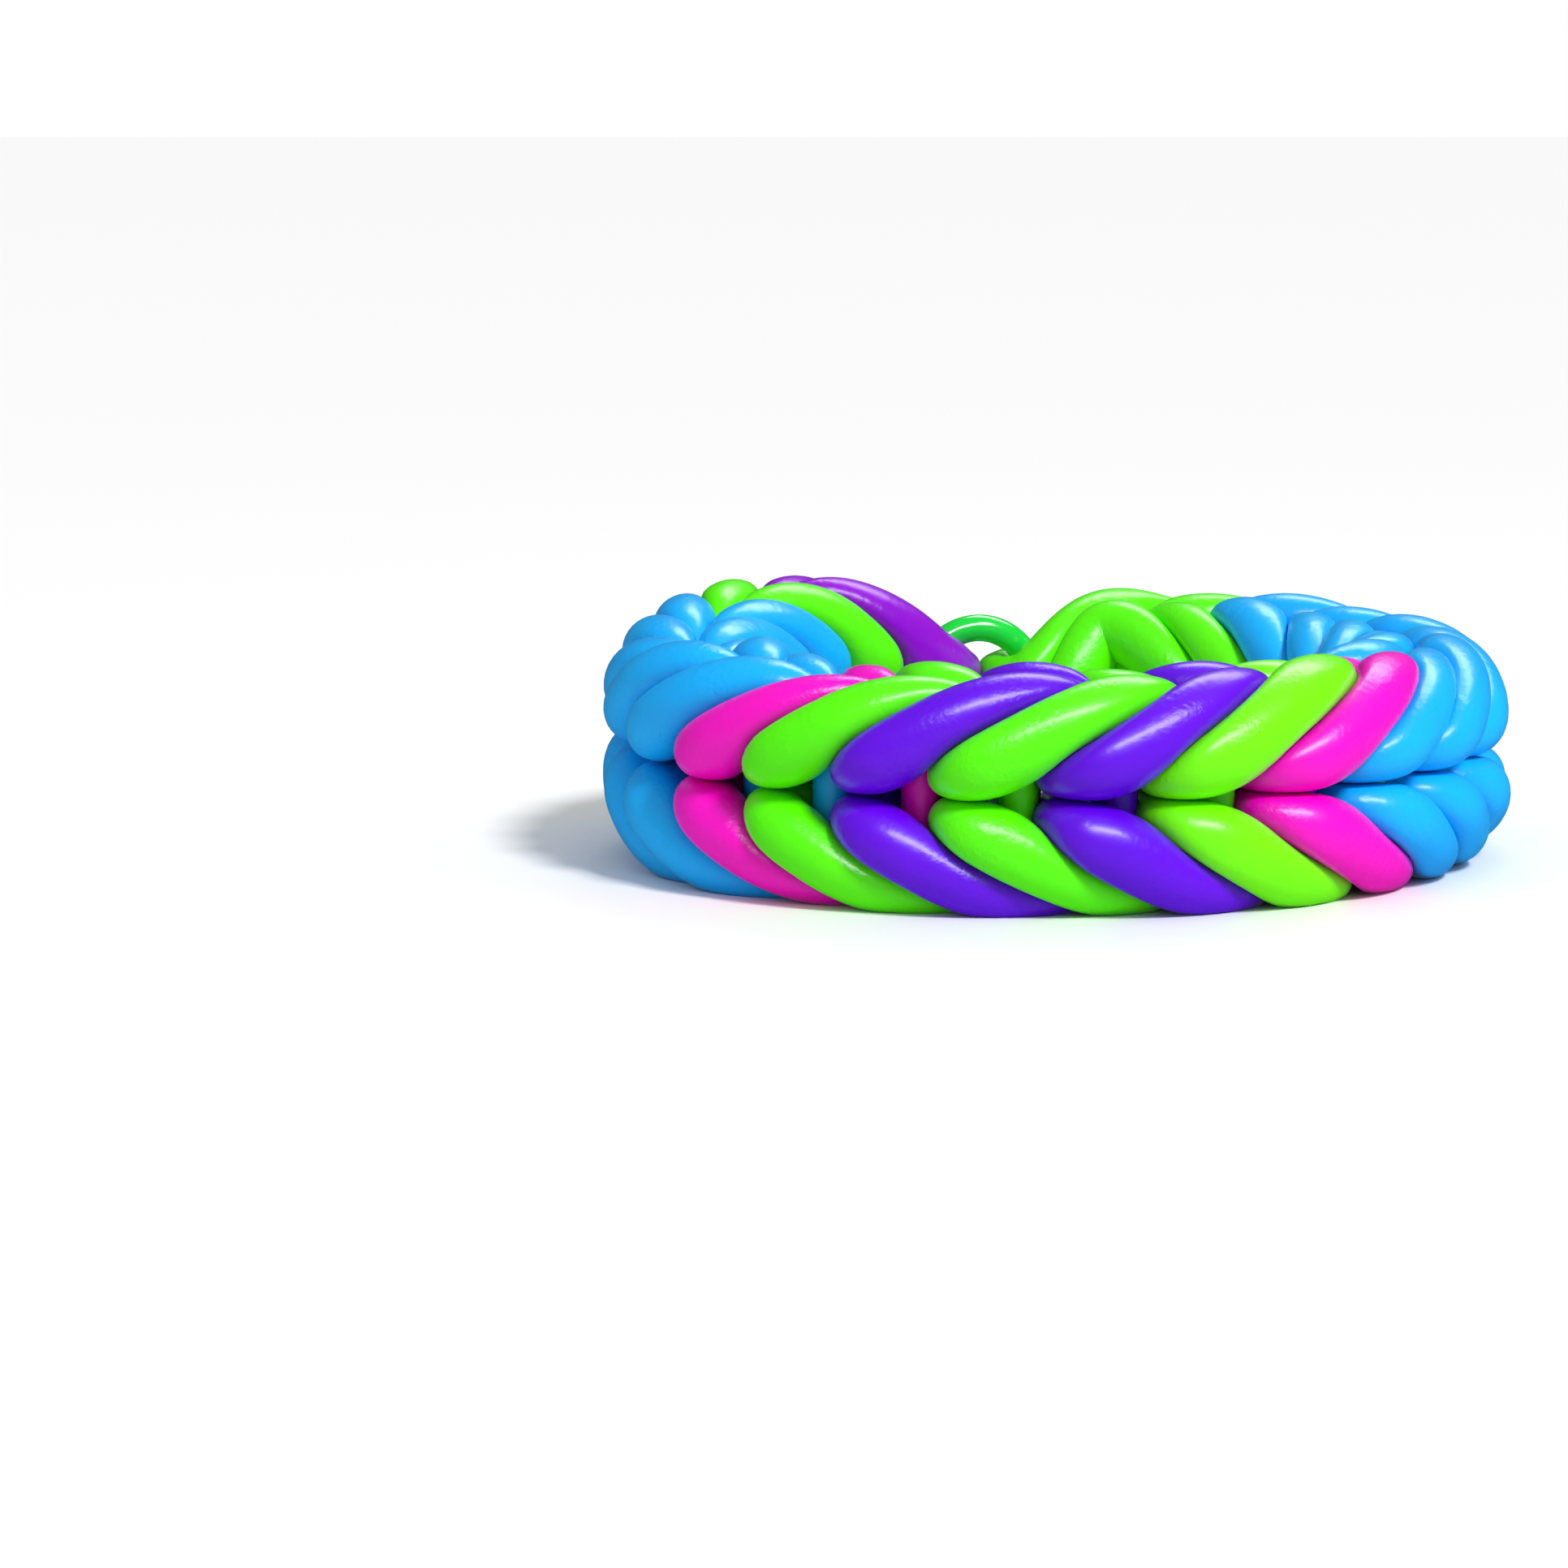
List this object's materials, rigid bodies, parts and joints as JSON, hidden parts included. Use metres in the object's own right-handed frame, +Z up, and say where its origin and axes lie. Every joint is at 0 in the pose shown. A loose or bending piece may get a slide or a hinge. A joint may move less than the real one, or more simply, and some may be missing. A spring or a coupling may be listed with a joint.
{
  "type": "rubber band bracelet",
  "caption": "Ring-shaped bracelet woven in a fishtail pattern from coloured rubber bands and closed by a small translucent plastic clip, lying on its side.",
  "frame": {"origin": "middle of the ring, on the surface it lies on", "axes": "+Z up along the ring's axis, +Y towards the clip at the back, +X to the right seen from the front"},
  "size_m": [0.0688, 0.0688, 0.0173],
  "materials": {
    "rubber_green": "glossy",
    "rubber_cyan": "glossy",
    "rubber_pink": "glossy",
    "rubber_purple": "glossy",
    "clip": "translucent"
  },
  "bodies": {
    "band_01": {"band_01_green": "rubber_green"},
    "band_02": {"band_02_green": "rubber_green"},
    "band_03": {"band_03_cyan": "rubber_cyan"},
    "band_04": {"band_04_cyan": "rubber_cyan"},
    "band_05": {"band_05_cyan": "rubber_cyan"},
    "band_06": {"band_06_cyan": "rubber_cyan"},
    "band_07": {"band_07_cyan": "rubber_cyan"},
    "band_08": {"band_08_cyan": "rubber_cyan"},
    "band_09": {"band_09_pink": "rubber_pink"},
    "band_10": {"band_10_green": "rubber_green"},
    "band_11": {"band_11_purple": "rubber_purple"},
    "band_12": {"band_12_green": "rubber_green"},
    "band_13": {"band_13_purple": "rubber_purple"},
    "band_14": {"band_14_green": "rubber_green"},
    "band_15": {"band_15_pink": "rubber_pink"},
    "band_16": {"band_16_cyan": "rubber_cyan"},
    "band_17": {"band_17_cyan": "rubber_cyan"},
    "band_18": {"band_18_cyan": "rubber_cyan"},
    "band_19": {"band_19_cyan": "rubber_cyan"},
    "band_20": {"band_20_cyan": "rubber_cyan"},
    "band_21": {"band_21_green": "rubber_green"},
    "band_22": {"band_22_purple": "rubber_purple"},
    "clip": {"clip": "clip"}
  },
  "joints": [
    {"name": "bend_11_10", "type": "hinge", "parent": "band_11", "child": "band_10", "pos_m": [0.01256, -0.02446, 0.00845], "axis": [0, 0, -1], "range_deg": [0, 6]},
    {"name": "bend_10_09", "type": "hinge", "parent": "band_10", "child": "band_09", "pos_m": [0.01829, -0.02054, 0.00845], "axis": [0, 0, -1], "range_deg": [0, 6]},
    {"name": "bend_09_08", "type": "hinge", "parent": "band_09", "child": "band_08", "pos_m": [0.02285, -0.0153, 0.00845], "axis": [0, 0, -1], "range_deg": [0, 6]},
    {"name": "bend_08_07", "type": "hinge", "parent": "band_08", "child": "band_07", "pos_m": [0.02595, -0.0091, 0.00845], "axis": [0, 0, -1], "range_deg": [0, 6]},
    {"name": "bend_07_06", "type": "hinge", "parent": "band_07", "child": "band_06", "pos_m": [0.0274, -0.00231, 0.00845], "axis": [0, 0, -1], "range_deg": [0, 6]},
    {"name": "bend_06_05", "type": "hinge", "parent": "band_06", "child": "band_05", "pos_m": [0.02711, 0.00463, 0.00845], "axis": [0, 0, -1], "range_deg": [0, 6]},
    {"name": "bend_05_04", "type": "hinge", "parent": "band_05", "child": "band_04", "pos_m": [0.02509, 0.01127, 0.00845], "axis": [0, 0, -1], "range_deg": [0, 6]},
    {"name": "bend_04_03", "type": "hinge", "parent": "band_04", "child": "band_03", "pos_m": [0.02147, 0.01719, 0.00845], "axis": [0, 0, -1], "range_deg": [0, 6]},
    {"name": "bend_03_02", "type": "hinge", "parent": "band_03", "child": "band_02", "pos_m": [0.01648, 0.02202, 0.00845], "axis": [0, 0, -1], "range_deg": [0, 6]},
    {"name": "bend_02_01", "type": "hinge", "parent": "band_02", "child": "band_01", "pos_m": [0.01044, 0.02544, 0.00845], "axis": [0, 0, -1], "range_deg": [0, 6]},
    {"name": "bend_11_12", "type": "hinge", "parent": "band_11", "child": "band_12", "pos_m": [0.00604, -0.02683, 0.00845], "axis": [0, 0, 1], "range_deg": [0, 6]},
    {"name": "bend_12_13", "type": "hinge", "parent": "band_12", "child": "band_13", "pos_m": [-0.00087, -0.02749, 0.00845], "axis": [0, 0, 1], "range_deg": [0, 6]},
    {"name": "bend_13_14", "type": "hinge", "parent": "band_13", "child": "band_14", "pos_m": [-0.00773, -0.02639, 0.00845], "axis": [0, 0, 1], "range_deg": [0, 6]},
    {"name": "bend_14_15", "type": "hinge", "parent": "band_14", "child": "band_15", "pos_m": [-0.01409, -0.02362, 0.00845], "axis": [0, 0, 1], "range_deg": [0, 6]},
    {"name": "bend_15_16", "type": "hinge", "parent": "band_15", "child": "band_16", "pos_m": [-0.01955, -0.01934, 0.00845], "axis": [0, 0, 1], "range_deg": [0, 6]},
    {"name": "bend_16_17", "type": "hinge", "parent": "band_16", "child": "band_17", "pos_m": [-0.02377, -0.01383, 0.00845], "axis": [0, 0, 1], "range_deg": [0, 6]},
    {"name": "bend_17_18", "type": "hinge", "parent": "band_17", "child": "band_18", "pos_m": [-0.02648, -0.00743, 0.00845], "axis": [0, 0, 1], "range_deg": [0, 6]},
    {"name": "bend_18_19", "type": "hinge", "parent": "band_18", "child": "band_19", "pos_m": [-0.02749, -0.00057, 0.00845], "axis": [0, 0, 1], "range_deg": [0, 6]},
    {"name": "bend_19_20", "type": "hinge", "parent": "band_19", "child": "band_20", "pos_m": [-0.02676, 0.00633, 0.00845], "axis": [0, 0, 1], "range_deg": [0, 6]},
    {"name": "bend_20_21", "type": "hinge", "parent": "band_20", "child": "band_21", "pos_m": [-0.02432, 0.01283, 0.00845], "axis": [0, 0, 1], "range_deg": [0, 6]},
    {"name": "bend_21_22", "type": "hinge", "parent": "band_21", "child": "band_22", "pos_m": [-0.02033, 0.01851, 0.00845], "axis": [0, 0, 1], "range_deg": [0, 6]},
    {"name": "clip_swing", "type": "hinge", "parent": "band_22", "child": "clip", "pos_m": [-0.01092, 0.02567, 0.00845], "axis": [0, 0, 1], "range_deg": [-6, 6], "deforming": ["clip"]}
  ],
  "couplings": [
    {"joint": "bend_10_09", "follows": "bend_11_10", "ratio": 1},
    {"joint": "bend_09_08", "follows": "bend_11_10", "ratio": 1},
    {"joint": "bend_08_07", "follows": "bend_11_10", "ratio": 1},
    {"joint": "bend_07_06", "follows": "bend_11_10", "ratio": 1},
    {"joint": "bend_06_05", "follows": "bend_11_10", "ratio": 1},
    {"joint": "bend_05_04", "follows": "bend_11_10", "ratio": 1},
    {"joint": "bend_04_03", "follows": "bend_11_10", "ratio": 1},
    {"joint": "bend_03_02", "follows": "bend_11_10", "ratio": 1},
    {"joint": "bend_02_01", "follows": "bend_11_10", "ratio": 1},
    {"joint": "bend_12_13", "follows": "bend_11_12", "ratio": 1},
    {"joint": "bend_13_14", "follows": "bend_11_12", "ratio": 1},
    {"joint": "bend_14_15", "follows": "bend_11_12", "ratio": 1},
    {"joint": "bend_15_16", "follows": "bend_11_12", "ratio": 1},
    {"joint": "bend_16_17", "follows": "bend_11_12", "ratio": 1},
    {"joint": "bend_17_18", "follows": "bend_11_12", "ratio": 1},
    {"joint": "bend_18_19", "follows": "bend_11_12", "ratio": 1},
    {"joint": "bend_19_20", "follows": "bend_11_12", "ratio": 1},
    {"joint": "bend_20_21", "follows": "bend_11_12", "ratio": 1},
    {"joint": "bend_21_22", "follows": "bend_11_12", "ratio": 1}
  ]
}
